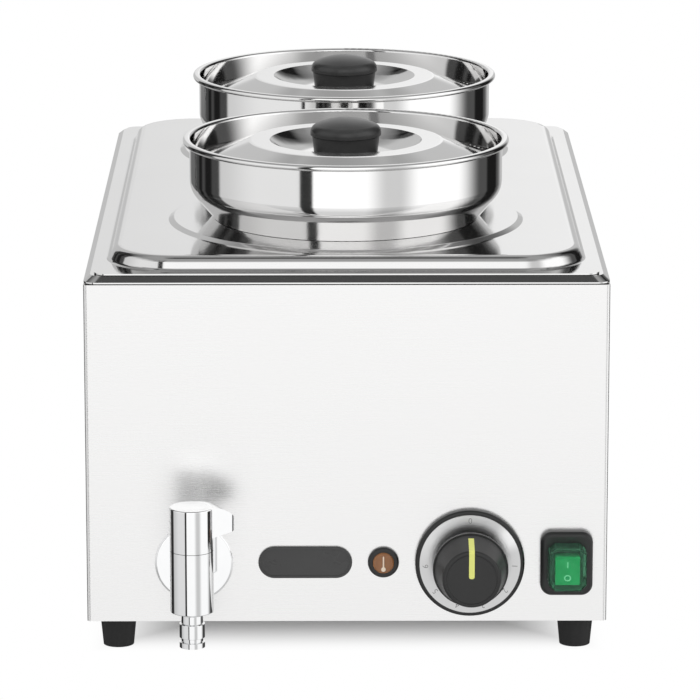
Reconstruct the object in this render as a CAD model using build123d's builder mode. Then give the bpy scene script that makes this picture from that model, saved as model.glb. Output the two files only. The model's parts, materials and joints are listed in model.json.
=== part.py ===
from build123d import *

import os
from math import atan, atan2, cos, degrees, radians, sin, sqrt, tan

# Countertop bain marie: a steel housing with a heated water well, a removable
# adapter plate that carries two lidded round pots, and a drain tap in front.
# Millimetres. X points right, Y to the back, Z up. The origin lies on the
# counter, under the middle of the whole: housing, tap and cable gland.

os.makedirs("parts", exist_ok=True)

# The adapter plate has the catering trade's full size, and the housing follows it
plate_width = 325.0
plate_length = 530.0
deck_side_margin = 6.5
deck_end_margin = 5.0

# Housing
body_width = plate_width + 2 * deck_side_margin
body_length = plate_length + 2 * deck_end_margin
panel_height = 223.8
sheet = 1.2
bend_radius = 2.5
panel_return = 16.0
lap_width = 9.0
rear_flange = 15.0
base_flange = 10.0
panel_gap = 0.3
assembly_gap = 0.1

# Feet
foot_height = 20.5
foot_top_radius = 12.0
foot_bottom_radius = 10.0
foot_inset = 19.5
foot_recess_radius = 5.0
foot_recess_depth = 9.0

# Screws of the housing
screw_radius = 2.0
screw_head_radius = 3.8
screw_head_height = 2.4
screw_hole_clearance = 0.2
screw_length = 7.0
rear_screw_inset = 9.0
rear_screw_levels = 3

# Top frame and water well
shadow_gap = 0.7
lip_height = 0.9
bevel_height = 3.5
bevel_run = 4.0
deck_corner_radius = 8.0
locating_depth = 8.0
well_side_margin = 17.5
well_end_margin = 18.5
well_corner_radius = 60.0
well_depth = 152.0
well_draft = 2.0
well_bottom_radius = 14.0
well_flange = 8.0

# Adapter plate
plate_corner_radius = 8.0
plate_sheet = 0.9
seat_gap = 0.3
field_height = 9.0
field_run = 4.2
field_inset_x = 7.5
field_inset_y = 9.0
field_foot_corner = 44.0
field_edge_radius = 6.5
field_foot_radius = 2.5
collar_foot_radius = 118.5
collar_top_radius = 115.0
collar_height = 2.0
collar_edge_radius = 1.0
pot_hole_radius = 88.4
pot_spacing = 256.0

# Pots
pot_sheet = 0.9
pot_wall_radius = 104.4
pot_body_radius = 86.0
pot_shoulder_radius = 16.0
pot_shoulder_slope = 49.8
pot_neck_radius = 3.0
pot_wall_height = 26.5
pot_seam_below_neck = 3.0
pot_depth_below_collar = 151.0
pot_bottom_radius = 18.0
rim_radius = 108.8
rim_height = 3.9

# Lids
lid_sheet = 0.8
lid_clearance = 1.3
lid_cone_drop = 15.0
lid_crest_outer = 64.0
lid_crest_inner = 50.8
lid_crest_below_rim = 2.1
lid_dish_depth = 12.4
lid_edge_radius = 2.0
lid_crest_edge_radius = 5.0
lid_seat_gap = 0.35

# Lid knobs
knob_foot_radius = 20.9
knob_waist_radius = 22.5
knob_cap_radius = 23.6
knob_seam_above_crest = 2.6
knob_cap_side = 5.2
knob_cap_round = 5.5
knob_apex_above_crest = 14.5
knob_foot_round = 2.0
knob_groove = 0.7
lid_screw_radius = 2.2
lid_screw_head_radius = 4.4
lid_screw_head_height = 2.6
lid_screw_reach = 14.0

# Row of controls on the front: how far each is from the middle, as a share of the housing's width
control_height = 60.4
tap_share = -0.2935
badge_share = -0.0799
lamp_share = 0.0701
dial_share = 0.2361
switch_share = 0.4216

# Drain tap
barrel_radius = 14.0
barrel_reach = 50.0
barrel_bottom = 42.0
barrel_seam = 82.4
handle_top = 111.0
handle_dish_radius = 11.5
handle_dish_depth = 1.2
tail_radius = 10.5
water_radius = 7.0
plug_radius = 9.0
plug_bottom = 50.0
port_radius = 5.0
plug_bore_radius = 4.4
running_gap = 0.05
handle_gap = 0.3
lever_reach = 28.5
lever_root_width = 24.0
lever_tip_width = 11.0
lever_root_low = 21.0
lever_tip_high = 9.5
lever_tip_low = 17.5
lever_angle = 25.0
nozzle_length = 23.5
nozzle_radius = 8.2
nozzle_neck_radius = 7.0
nozzle_bore_radius = 5.0
escutcheon_radius = 25.4
escutcheon_thickness = 2.5
backnut_flats = 27.0
backnut_thickness = 7.0
washer_thickness = 2.0
washer_radius = 15.0

# Drain under the well
drain_y_from_front = 48.0
pipe_radius = 8.5
pipe_bend_share = 0.56
drain_boss_radius = 13.0
drain_boss_height = 6.0
tail_inside = 24.0
coupling_radius = 13.5
coupling_lap = 10.0

# Dial and knob
dial_ring_radius = 35.5
dial_ring_height = 5.2
dial_face_radius = 32.7
dial_face_thickness = 0.8
dial_hole_radius = 9.5
knob_gap = 1.0
knob_collar_radius = 19.0
knob_skirt_start = 17.0
knob_skirt_radius = 24.4
knob_skirt_height = 3.0
knob_side_radius = 23.6
knob_front_radius = 18.6
knob_front = 43.0
knob_edge_radius = 1.6
knob_groove_radius = 16.6
knob_groove_width = 0.8
knob_groove_depth = 0.5
pointer_width = 3.6
pointer_end_rise = 0.5
pointer_start_share = 0.25
pointer_proud = 0.35
pointer_depth = 1.2
shaft_radius = 3.0
shaft_engagement = 16.0
bush_radius = 5.0
bush_reach = 9.0

# Thermostat, cut-out and their tubes
thermostat_width = 42.0
thermostat_depth = 27.0
thermostat_tall = 34.0
thermostat_corner = 3.0
bulb_radius = 3.0
bulb_length = 90.0
bulb_x = 8.0
bulb_from_middle = 90.0
capillary_radius = 0.9
capillary_bend = 9.0
cutout_radius = 8.5
cutout_height = 11.0
cutout_from_middle = 150.0
cutout_x = -10.0

# Signal lamp
lamp_bezel_radius = 10.1
lamp_bezel_reach = 3.2
lamp_lens_radius = 7.0
lamp_lens_reach = 4.6
lamp_body_radius = 6.0
lamp_body_depth = 28.0
lamp_nut_flats = 17.0
lamp_nut_thickness = 4.0

# Rocker switch under a soft cover
frame_width = 34.0
frame_tall = 42.7
frame_reach = 7.0
frame_corner = 7.5
frame_edge_radius = 3.0
boot_width = 24.6
boot_tall = 28.6
boot_reach = 22.0
boot_corner = 4.0
boot_wall = 0.8
collar_width = 21.0
collar_tall = 25.0
collar_wall = 2.0
collar_reach = 13.0
switch_depth = 28.0
rocker_width = 15.8
rocker_tall = 18.7
rocker_face = 18.6
rocker_neck_tall = 13.0
rocker_neck_end = 15.5
rocker_back = 2.0
rocker_pivot_reach = 7.0
rocker_pin_radius = 1.5
rocker_tilt = 8.0
blade_width = 6.3
blade_thickness = 0.8
blade_length = 8.0

# Badge
badge_length = 60.9
badge_tall = 21.2
badge_thickness = 2.0
badge_edge_radius = 0.9
badge_rim = 1.6
badge_recess = 0.5
badge_pin_radius = 1.5
badge_pin_spacing = 36.0

# Heating element
element_radius = 4.0
element_half_width = 92.0
element_half_length = 168.0
element_entry = 24.0
element_lead_in = 34.0
element_bend = 22.0
pin_radius = 2.0
pin_length = 12.0
clamp_width = 18.0
clamp_thickness = 1.5

# Supply
gland_from_side = 69.0
gland_height = 58.0
gland_radius = 11.0
gland_thread_radius = 8.0
gland_bore_radius = 4.2
gland_reach = 20.0
gland_inside = 14.0
gland_nut_flats = 22.0
gland_nut_thickness = 5.0
block_width = 44.0
block_depth = 22.0
block_tall = 19.0
block_from_rear = 55.0
wire_radius = 1.4
wire_bend = 10.0
stud_radius = 2.5
stud_height = 14.0
stud_flats = 8.0

# Planes and levels that several pieces share
side_x = body_width / 2
well_width = body_width - 2 * well_side_margin
well_length = body_length - 2 * well_end_margin
tap_x = body_width * tap_share
badge_x = body_width * badge_share
lamp_x = body_width * lamp_share
dial_x = body_width * dial_share
switch_x = body_width * switch_share
gland_x = side_x - gland_from_side
front_reach = barrel_reach + barrel_radius
mid_y = (front_reach - gland_reach) / 2
front_y = mid_y - body_length / 2
rear_y = mid_y + body_length / 2
panel_bottom = foot_height
panel_top = foot_height + panel_height
lip_bottom = panel_top + shadow_gap
bevel_bottom = lip_bottom + lip_height
deck_top = bevel_bottom + bevel_height
well_top = deck_top - sheet
well_floor = deck_top - well_depth
well_underside = well_floor - sheet
plate_bottom = deck_top + seat_gap
plate_top = plate_bottom + plate_sheet
field_top = plate_top + field_height
collar_top = field_top + collar_height
inner_face_y = front_y + sheet
pot_offsets = {"front": -pot_spacing / 2, "rear": pot_spacing / 2}
barrel_y = front_y - barrel_reach
drain_y = front_y + drain_y_from_front


def level(height):
    # the horizontal plane at this height, centred on the housing
    return Plane(origin=(0, mid_y, height))



# Housing panels

foot_points = [
    (sign_x * (body_width / 2 - foot_inset), sign_y * (body_length / 2 - foot_inset))
    for sign_x in (-1, 1)
    for sign_y in (-1, 1)
]
rear_screw_points = [
    (sign_x * (side_x - rear_screw_inset), panel_bottom + panel_height * (level + 0.5) / rear_screw_levels)
    for sign_x in (-1, 1)
    for level in range(rear_screw_levels)
]
screw_hole = screw_radius + screw_hole_clearance

# The front panel is one sheet, bent back round both sides
with BuildPart() as front_panel:
    with BuildSketch(Plane.XY.offset(panel_bottom)):
        with Locations((0, front_y + panel_return / 2)):
            Rectangle(body_width, panel_return)
        fillet(vertices().group_by(Axis.Y)[0], bend_radius)
        with Locations((0, front_y + sheet + panel_return / 2)):
            Rectangle(body_width - 2 * sheet, panel_return, mode=Mode.SUBTRACT)
    extrude(amount=panel_height)
    with BuildSketch(Plane.XZ.offset(-front_y)):
        with Locations((tap_x, control_height)):
            Circle(tail_radius + assembly_gap)
        with Locations((lamp_x, control_height)):
            Circle(lamp_body_radius + assembly_gap)
        with Locations((dial_x, control_height)):
            Circle(bush_radius + assembly_gap)
        with Locations((switch_x, control_height)):
            Rectangle(collar_width + 2 * assembly_gap, collar_tall + 2 * assembly_gap)
        with Locations((badge_x, control_height)):
            with GridLocations(badge_pin_spacing, 0, 2, 1):
                Circle(badge_pin_radius + assembly_gap)
    extrude(amount=-2 * sheet, mode=Mode.SUBTRACT)
front_panel.part.label = "front_panel"
export_step(front_panel.part, "parts/front_panel.step")

# Each side panel laps behind the front panel's return and turns in at the rear
side_start = front_y + panel_return + panel_gap
side_end = rear_y - sheet - assembly_gap
for name, sign in (("left_side_panel", -1), ("right_side_panel", 1)):
    with BuildPart() as side_panel:
        with BuildSketch(Plane.XY.offset(panel_bottom)):
            with Locations((sign * (side_x - sheet / 2), (side_start + side_end) / 2)):
                Rectangle(sheet, side_end - side_start)
            with Locations((sign * (side_x - 1.5 * sheet - assembly_gap / 2), side_start)):
                Rectangle(sheet + assembly_gap, 2 * lap_width)
            with Locations((sign * (side_x - sheet - assembly_gap / 2), side_start - lap_width / 2 - panel_gap / 2)):
                Rectangle(assembly_gap, lap_width + panel_gap, mode=Mode.SUBTRACT)
            with Locations((sign * (side_x - rear_flange / 2), side_end - sheet / 2)):
                Rectangle(rear_flange, sheet)
        extrude(amount=panel_height)
        with BuildSketch(Plane.XZ.offset(-rear_y)):
            with Locations(*[point for point in rear_screw_points if point[0] * sign > 0]):
                Circle(screw_radius)
        extrude(amount=4 * sheet, mode=Mode.SUBTRACT)
    side_panel.part.label = name
    export_step(side_panel.part, f"parts/{name}.step")

# The rear panel is flat and screwed on, with two rows of vents
vent_width = 28.0
vent_tall = 4.0
vent_level = 170.0
with BuildPart() as rear_panel:
    with BuildSketch(Plane.XZ.offset(-rear_y)):
        with Locations((0, panel_bottom + panel_height / 2)):
            Rectangle(body_width, panel_height)
            fillet(vertices(), sheet)
        with Locations(*rear_screw_points):
            Circle(screw_hole, mode=Mode.SUBTRACT)
        with Locations((gland_x, gland_height)):
            Circle(gland_thread_radius + assembly_gap, mode=Mode.SUBTRACT)
        with Locations((0, vent_level)):
            with GridLocations(1.5 * vent_width, 3 * vent_tall, 5, 3):
                SlotOverall(vent_width, vent_tall, mode=Mode.SUBTRACT)
    extrude(amount=sheet)
rear_panel.part.label = "rear_panel"
export_step(rear_panel.part, "parts/rear_panel.step")

with BuildPart() as rear_panel_screws:
    with BuildSketch(Plane.XZ.offset(-rear_y)):
        with Locations(*rear_screw_points):
            Circle(screw_head_radius)
    extrude(amount=-screw_head_height)
    fillet(faces().group_by(Axis.Y)[-1].edges(), screw_head_height / 2)
    with BuildSketch(Plane.XZ.offset(-rear_y)):
        with Locations(*rear_screw_points):
            Circle(screw_radius - running_gap)
    extrude(amount=screw_length)
rear_panel_screws.part.label = "rear_panel_screws"
export_step(rear_panel_screws.part, "parts/rear_panel_screws.step")

# The base is a shallow tray with vent slots, standing on the feet
base_width = body_width - 2 * (sheet + 1.5 * assembly_gap) - 2 * (sheet + assembly_gap)
base_length = body_length - 2 * (sheet + assembly_gap) - 2 * (sheet + assembly_gap)
base_top = panel_bottom + sheet
with BuildPart() as base_plate:
    with BuildSketch(level(panel_bottom)):
        Rectangle(base_width, base_length)
    extrude(amount=base_flange)
    with BuildSketch(level(base_top)):
        Rectangle(base_width - 2 * sheet, base_length - 2 * sheet)
    extrude(amount=base_flange, mode=Mode.SUBTRACT)
    with BuildSketch(level(panel_bottom)):
        with Locations(*foot_points):
            Circle(screw_hole)
        with GridLocations(3 * vent_tall, 1.6 * vent_width, 9, 6):
            SlotOverall(vent_width, vent_tall, rotation=90)
    extrude(amount=2 * sheet, mode=Mode.SUBTRACT)
base_plate.part.label = "base_plate"
export_step(base_plate.part, "parts/base_plate.step")

foot_draft = degrees(atan((foot_top_radius - foot_bottom_radius) / foot_height))
with BuildPart() as feet:
    with BuildSketch(level(0)):
        with Locations(*foot_points):
            Circle(foot_bottom_radius)
    extrude(amount=foot_height, taper=-foot_draft)
    with BuildSketch(level(0)):
        with Locations(*foot_points):
            Circle(foot_recess_radius)
    extrude(amount=foot_recess_depth, mode=Mode.SUBTRACT)
    with BuildSketch(level(0)):
        with Locations(*foot_points):
            Circle(screw_hole)
    extrude(amount=foot_height, mode=Mode.SUBTRACT)
feet.part.label = "feet"
export_step(feet.part, "parts/feet.step")

with BuildPart() as foot_screws:
    with BuildSketch(level(foot_recess_depth)):
        with Locations(*foot_points):
            Circle(screw_head_radius)
    extrude(amount=-screw_head_height)
    with BuildSketch(level(foot_recess_depth)):
        with Locations(*foot_points):
            Circle(screw_radius)
    extrude(amount=base_top + screw_length - foot_recess_depth)
    with BuildSketch(level(base_top)):
        with Locations(*foot_points):
            RegularPolygon(screw_head_radius, 6)
    extrude(amount=2 * screw_radius)
foot_screws.part.label = "foot_screws"
export_step(foot_screws.part, "parts/foot_screws.step")

# The top frame: a bevelled deck with a lip, open over the well

with BuildPart() as top_frame:
    with BuildSketch(level(lip_bottom)):
        RectangleRounded(body_width, body_length, deck_corner_radius)
    extrude(amount=lip_height)
    with BuildSketch(level(bevel_bottom)):
        RectangleRounded(body_width, body_length, deck_corner_radius)
    with BuildSketch(level(deck_top)):
        RectangleRounded(body_width - 2 * bevel_run, body_length - 2 * bevel_run, deck_corner_radius)
    loft(ruled=True)
    with BuildSketch(level(lip_bottom)):
        RectangleRounded(body_width - 2 * sheet, body_length - 2 * sheet, deck_corner_radius - sheet)
    extrude(amount=lip_height, mode=Mode.SUBTRACT)
    with BuildSketch(level(bevel_bottom)):
        RectangleRounded(body_width - 2 * sheet, body_length - 2 * sheet, deck_corner_radius - sheet)
    with BuildSketch(level(well_top)):
        RectangleRounded(
            body_width - 2 * (bevel_run + sheet), body_length - 2 * (bevel_run + sheet), deck_corner_radius - sheet
        )
    loft(ruled=True, mode=Mode.SUBTRACT)
    locating_width = body_width - 2 * (bevel_run + 2 * sheet)
    locating_length = body_length - 2 * (bevel_run + 2 * sheet)
    with BuildSketch(level(panel_top - locating_depth)):
        RectangleRounded(locating_width, locating_length, deck_corner_radius - sheet)
        RectangleRounded(
            locating_width - 2 * sheet, locating_length - 2 * sheet, deck_corner_radius - 2 * sheet, mode=Mode.SUBTRACT
        )
    extrude(amount=well_top - panel_top + locating_depth)
    with BuildSketch(level(deck_top)):
        RectangleRounded(well_width, well_length, well_corner_radius)
    extrude(amount=-2 * sheet, mode=Mode.SUBTRACT)
top_frame.part.label = "top_frame"
export_step(top_frame.part, "parts/top_frame.step")

# The well hangs from its flange under the deck

with BuildPart() as tank:
    with BuildSketch(level(well_top)):
        RectangleRounded(well_width + 2 * sheet, well_length + 2 * sheet, well_corner_radius + sheet)
    extrude(amount=well_underside - well_top, taper=well_draft)
    fillet(faces().sort_by(Axis.Z)[0].edges(), well_bottom_radius + sheet)
    with BuildSketch(level(well_top - sheet)):
        RectangleRounded(
            well_width + 2 * well_flange, well_length + 2 * well_flange, well_corner_radius + well_flange
        )
    extrude(amount=sheet)
tank_form = tank.part
with BuildPart() as well_space:
    with BuildSketch(level(well_top)):
        RectangleRounded(well_width, well_length, well_corner_radius)
    extrude(amount=well_floor - well_top, taper=well_draft)
    fillet(faces().sort_by(Axis.Z)[0].edges(), well_bottom_radius)
with BuildPart() as tank:
    add(tank_form)
    add(well_space.part, mode=Mode.SUBTRACT)
    with BuildSketch(Plane(origin=(tap_x, drain_y, well_underside))):
        Circle(water_radius)
    extrude(amount=2 * sheet, mode=Mode.SUBTRACT)
tank.part.label = "tank"
export_step(tank.part, "parts/tank.step")

# Adapter plate

field_width = plate_width - 2 * field_inset_x
field_length = plate_length - 2 * field_inset_y
field_draft = degrees(atan(field_run / field_height))
collar_draft = degrees(atan((collar_foot_radius - collar_top_radius) / collar_height))


def wall_shift(draft):
    # how far a sheet's underside stands inside its top at one level, on a slope of this draft
    return plate_sheet * (1 / cos(radians(draft)) - tan(radians(draft)))


field_shift = wall_shift(field_draft)
collar_points = [(0, offset_y) for offset_y in pot_offsets.values()]
with BuildPart() as field_hollow:
    with BuildSketch(level(plate_bottom)):
        RectangleRounded(field_width - 2 * field_shift, field_length - 2 * field_shift, field_foot_corner)
    extrude(amount=field_height, taper=field_draft)
    fillet(faces().sort_by(Axis.Z)[-1].edges(), field_edge_radius - plate_sheet)
with BuildPart() as adapter_plate:
    with BuildSketch(level(plate_bottom)):
        RectangleRounded(plate_width, plate_length, plate_corner_radius)
    extrude(amount=plate_sheet)
    with BuildSketch(level(plate_top)):
        RectangleRounded(field_width, field_length, field_foot_corner)
    extrude(amount=field_height, taper=field_draft)
    fillet(edges(Select.LAST).group_by(Axis.Z)[0], field_foot_radius)
    fillet(faces().sort_by(Axis.Z)[-1].edges(), field_edge_radius)
    with BuildSketch(level(field_top)):
        with Locations(*collar_points):
            Circle(collar_foot_radius)
    extrude(amount=collar_height, taper=collar_draft)
    fillet(edges(Select.LAST).group_by(Axis.Z)[-1], collar_edge_radius)
    add(field_hollow.part, mode=Mode.SUBTRACT)
    with BuildSketch(level(field_top - plate_sheet)):
        with Locations(*collar_points):
            Circle(collar_foot_radius - wall_shift(collar_draft))
    extrude(amount=collar_height, taper=collar_draft, mode=Mode.SUBTRACT)
    with BuildSketch(level(plate_bottom)):
        with Locations(*collar_points):
            Circle(pot_hole_radius)
    extrude(amount=collar_top - plate_bottom, mode=Mode.SUBTRACT)
adapter_plate.part.label = "adapter_plate"
export_step(adapter_plate.part, "parts/adapter_plate.step")

# Pots, lids and lid knobs

shoulder_rise = tan(radians(pot_shoulder_slope))
shoulder_corner = collar_top + seat_gap + (pot_wall_radius - pot_hole_radius) * shoulder_rise
shoulder_x = pot_wall_radius - pot_shoulder_radius
shoulder_z = shoulder_corner + pot_shoulder_radius * tan(radians(90 - pot_shoulder_slope) / 2)
neck_z = shoulder_corner - (pot_wall_radius - pot_body_radius) * shoulder_rise
seam_z = neck_z - pot_seam_below_neck
rim_z = shoulder_z + pot_wall_height
rim_top = rim_z + rim_height / 2
pot_bottom = collar_top - pot_depth_below_collar

lid_radius = pot_wall_radius - pot_sheet - lid_clearance
lid_crest = rim_top - lid_crest_below_rim
lid_dish = lid_crest - lid_dish_depth
lid_dish_flat = knob_foot_radius + seat_gap
inner_shoulder = pot_shoulder_radius - pot_sheet
lid_bottom = shoulder_z - sqrt(inner_shoulder**2 - (lid_radius - shoulder_x) ** 2) + lid_seat_gap

knob_seam = lid_crest + knob_seam_above_crest
knob_cap_low = knob_seam + knob_groove
knob_cap_high = knob_cap_low + knob_cap_side
knob_apex = lid_crest + knob_apex_above_crest

for place, offset_y in pot_offsets.items():
    centre = mid_y + offset_y
    turning_plane = Plane(origin=(0, centre, 0), x_dir=(1, 0, 0), z_dir=(0, -1, 0))
    turning_axis = Axis((0, centre, 0), (0, 0, 1))

    # A pot is a deep-drawn drum, seam-welded below the neck to its spun shoulder
    with BuildPart() as pot_drum:
        with BuildSketch(turning_plane):
            with BuildLine():
                Line((0, pot_bottom), (pot_body_radius - pot_bottom_radius, pot_bottom))
                TangentArc(
                    (pot_body_radius - pot_bottom_radius, pot_bottom),
                    (pot_body_radius, pot_bottom + pot_bottom_radius),
                    tangent=(1, 0),
                )
                Line((pot_body_radius, pot_bottom + pot_bottom_radius), (pot_body_radius, seam_z))
                offset(amount=pot_sheet, side=Side.LEFT)
            make_face()
        revolve(axis=turning_axis)
    pot_drum.part.label = f"{place}_pot_drum"
    export_step(pot_drum.part, f"parts/{place}_pot_drum.step")

    with BuildPart() as pot:
        with BuildSketch(turning_plane):
            with BuildLine():
                FilletPolyline(
                    (pot_body_radius, seam_z),
                    (pot_body_radius, neck_z),
                    (pot_wall_radius, shoulder_corner),
                    (pot_wall_radius, rim_z),
                    radius=[pot_neck_radius, pot_shoulder_radius],
                )
                offset(amount=pot_sheet, side=Side.LEFT)
            make_face()
            with Locations(((pot_wall_radius - pot_sheet + rim_radius) / 2, rim_z)):
                SlotOverall(rim_radius - pot_wall_radius + pot_sheet, rim_height)
        revolve(axis=turning_axis)
    pot.part.label = f"{place}_pot"
    export_step(pot.part, f"parts/{place}_pot.step")

    with BuildPart() as lid:
        with BuildSketch(turning_plane):
            with BuildLine():
                Line((0, lid_dish), (lid_dish_flat, lid_dish))
                TangentArc((lid_dish_flat, lid_dish), (lid_crest_inner, lid_crest), tangent=(1, 0))
                FilletPolyline(
                    (lid_crest_inner, lid_crest),
                    (lid_crest_outer, lid_crest),
                    (lid_radius, lid_crest - lid_cone_drop),
                    (lid_radius, lid_bottom),
                    radius=[lid_crest_edge_radius, lid_edge_radius],
                )
                offset(amount=lid_sheet, side=Side.RIGHT)
            make_face()
        revolve(axis=turning_axis)
        with BuildSketch(Plane(origin=(0, centre, lid_dish))):
            Circle(lid_screw_radius + assembly_gap)
        extrude(amount=-2 * lid_sheet, mode=Mode.SUBTRACT)
    lid.part.label = f"{place}_lid"
    export_step(lid.part, f"parts/{place}_lid.step")

    with BuildPart() as lid_knob:
        with BuildSketch(turning_plane):
            with BuildLine():
                Polyline(
                    (0, lid_dish),
                    (knob_foot_radius, lid_dish),
                    (knob_waist_radius, knob_seam),
                    (knob_waist_radius - knob_groove, knob_seam),
                    (knob_waist_radius - knob_groove, knob_cap_low),
                    (knob_cap_radius, knob_cap_low),
                    (knob_cap_radius, knob_cap_high),
                )
                TangentArc((0, knob_apex), (knob_cap_radius, knob_cap_high), tangent=(1, 0))
                Line((0, knob_apex), (0, lid_dish))
            make_face()
            fillet(vertices().group_by(Axis.X)[-1].sort_by(Axis.Y)[-1], knob_cap_round)
        revolve(axis=turning_axis)
        fillet(edges().group_by(Axis.Z)[0], knob_foot_round)
        with BuildSketch(Plane(origin=(0, centre, lid_dish))):
            Circle(lid_screw_radius + running_gap)
        extrude(amount=lid_screw_reach, mode=Mode.SUBTRACT)
    lid_knob.part.label = f"{place}_lid_knob"
    export_step(lid_knob.part, f"parts/{place}_lid_knob.step")

    with BuildPart() as lid_screw:
        with BuildSketch(Plane(origin=(0, centre, lid_dish - lid_sheet))):
            Circle(lid_screw_head_radius)
        extrude(amount=-lid_screw_head_height)
        fillet(faces().sort_by(Axis.Z)[0].edges(), lid_screw_head_height / 2)
        with BuildSketch(Plane(origin=(0, centre, lid_dish - lid_sheet))):
            Circle(lid_screw_radius)
        extrude(amount=lid_screw_reach)
    lid_screw.part.label = f"{place}_lid_screw"
    export_step(lid_screw.part, f"parts/{place}_lid_screw.step")

# Drain tap: a barrel with a tail through the panel, a plug turned by the handle

barrel_plane = Plane(origin=(tap_x, barrel_y, 0), x_dir=(1, 0, 0), z_dir=(0, -1, 0))
barrel_axis = Axis((tap_x, barrel_y, 0), (0, 0, 1))
tail_end = front_y + tail_inside
with BuildPart() as tap_body:
    with BuildSketch(Plane(origin=(tap_x, barrel_y, barrel_bottom))):
        Circle(barrel_radius)
    extrude(amount=barrel_seam - barrel_bottom)
    fillet(faces().sort_by(Axis.Z)[0].edges(), assembly_gap * 6)
    with BuildSketch(Plane(origin=(tap_x, barrel_y, control_height), x_dir=(1, 0, 0), z_dir=(0, 1, 0))):
        Circle(tail_radius)
    extrude(amount=tail_end - barrel_y)
    with BuildSketch(Plane(origin=(tap_x, barrel_y, plug_bottom))):
        Circle(plug_radius)
    extrude(amount=barrel_seam - plug_bottom, mode=Mode.SUBTRACT)
    with BuildSketch(Plane(origin=(tap_x, barrel_y, barrel_bottom))):
        Circle(nozzle_neck_radius + running_gap)
    extrude(amount=plug_bottom - barrel_bottom, mode=Mode.SUBTRACT)
    with BuildSketch(Plane(origin=(tap_x, barrel_y, control_height), x_dir=(1, 0, 0), z_dir=(0, 1, 0))):
        Circle(water_radius)
    extrude(amount=tail_end - barrel_y, mode=Mode.SUBTRACT)
tap_body.part.label = "tap_body"
export_step(tap_body.part, "parts/tap_body.step")

# The nozzle screws into the barrel from below
groove_depth = nozzle_radius - nozzle_neck_radius
nozzle_end = barrel_bottom - nozzle_length
shoulder_start = barrel_bottom - 0.32 * nozzle_length
groove_start = nozzle_end + 0.28 * nozzle_length
flange_start = nozzle_end + 0.17 * nozzle_length
with BuildPart() as tap_nozzle:
    with BuildSketch(barrel_plane):
        with BuildLine():
            Polyline(
                (nozzle_bore_radius, plug_bottom - 2 * assembly_gap),
                (nozzle_neck_radius, plug_bottom - 2 * assembly_gap),
                (nozzle_neck_radius, barrel_bottom - assembly_gap),
                (nozzle_radius, barrel_bottom - assembly_gap),
                (nozzle_radius, barrel_bottom - groove_depth),
                (nozzle_neck_radius, barrel_bottom - 2 * groove_depth),
                (nozzle_neck_radius, shoulder_start),
                (nozzle_radius, shoulder_start - groove_depth / 2),
                (nozzle_radius, groove_start),
                (nozzle_neck_radius, groove_start - groove_depth / 2),
                (nozzle_neck_radius, flange_start),
                (nozzle_radius, flange_start - groove_depth / 2),
                (nozzle_radius, nozzle_end),
                (nozzle_bore_radius, nozzle_end),
                close=True,
            )
        make_face()
    revolve(axis=barrel_axis)
tap_nozzle.part.label = "tap_nozzle"
export_step(tap_nozzle.part, "parts/tap_nozzle.step")

# The handle: a cap as wide as the barrel, with a drooping thumb lever
handle_bottom = barrel_seam + handle_gap
lever_x = cos(radians(lever_angle))
lever_y = sin(radians(lever_angle))
lever_side = Plane(origin=(tap_x, barrel_y, 0), x_dir=(lever_x, lever_y, 0), z_dir=(lever_y, -lever_x, 0))
lever_top = Plane(origin=(tap_x, barrel_y, handle_bottom), x_dir=(lever_x, lever_y, 0), z_dir=(0, 0, 1))
with BuildPart() as lever:
    with BuildSketch(lever_side):
        with BuildLine():
            Line((0, handle_top), (barrel_radius * 0.6, handle_top))
            TangentArc(
                (barrel_radius * 0.6, handle_top), (lever_reach, handle_top - lever_tip_high), tangent=(1, 0)
            )
            Polyline(
                (lever_reach, handle_top - lever_tip_high),
                (lever_reach, handle_top - lever_tip_low),
                (0, handle_top - lever_root_low),
                (0, handle_top),
            )
        make_face()
        fillet(vertices().group_by(Axis.X)[-1], (lever_tip_low - lever_tip_high) * 0.4)
    extrude(amount=lever_root_width, both=True)
    with BuildSketch(lever_top):
        with BuildLine():
            Polyline(
                (0, -lever_root_width / 2),
                (0, lever_root_width / 2),
                (lever_reach, lever_tip_width / 2),
                (lever_reach, -lever_tip_width / 2),
                close=True,
            )
        make_face()
        fillet(vertices().group_by(Axis.X)[-1], lever_tip_width / 2.5)
    extrude(amount=handle_top - handle_bottom, mode=Mode.INTERSECT)
handle_dish_curve = (handle_dish_radius**2 + handle_dish_depth**2) / (2 * handle_dish_depth)
with BuildPart() as tap_handle:
    with BuildSketch(Plane(origin=(tap_x, barrel_y, handle_bottom))):
        Circle(barrel_radius)
    extrude(amount=handle_top - handle_bottom)
    fillet(faces().sort_by(Axis.Z)[-1].edges(), 1.0)
    add(lever.part)
    with BuildSketch(Plane(origin=(tap_x, barrel_y, handle_bottom))):
        Circle(plug_radius - running_gap)
    extrude(amount=plug_radius, mode=Mode.SUBTRACT)
    with Locations((tap_x, barrel_y, handle_top - handle_dish_depth + handle_dish_curve)):
        Sphere(handle_dish_curve, mode=Mode.SUBTRACT)
tap_handle.part.label = "tap_handle"
export_step(tap_handle.part, "parts/tap_handle.step")

# The plug closes the tail at rest: its side port points away from the tank until the handle turns
with BuildPart() as tap_plug:
    with BuildSketch(Plane(origin=(tap_x, barrel_y, plug_bottom + assembly_gap))):
        Circle(plug_radius - running_gap)
    extrude(amount=handle_bottom + plug_radius - plug_bottom - assembly_gap)
    with BuildSketch(Plane(origin=(tap_x, barrel_y, plug_bottom))):
        Circle(plug_bore_radius)
    extrude(amount=control_height - plug_bottom + port_radius / 2, mode=Mode.SUBTRACT)
    with BuildSketch(Plane(origin=(tap_x, barrel_y, control_height), x_dir=(0, 1, 0), z_dir=(-1, 0, 0))):
        Circle(port_radius)
    extrude(amount=barrel_radius, mode=Mode.SUBTRACT)
tap_plug.part.label = "tap_plug"
export_step(tap_plug.part, "parts/tap_plug.step")

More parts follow.
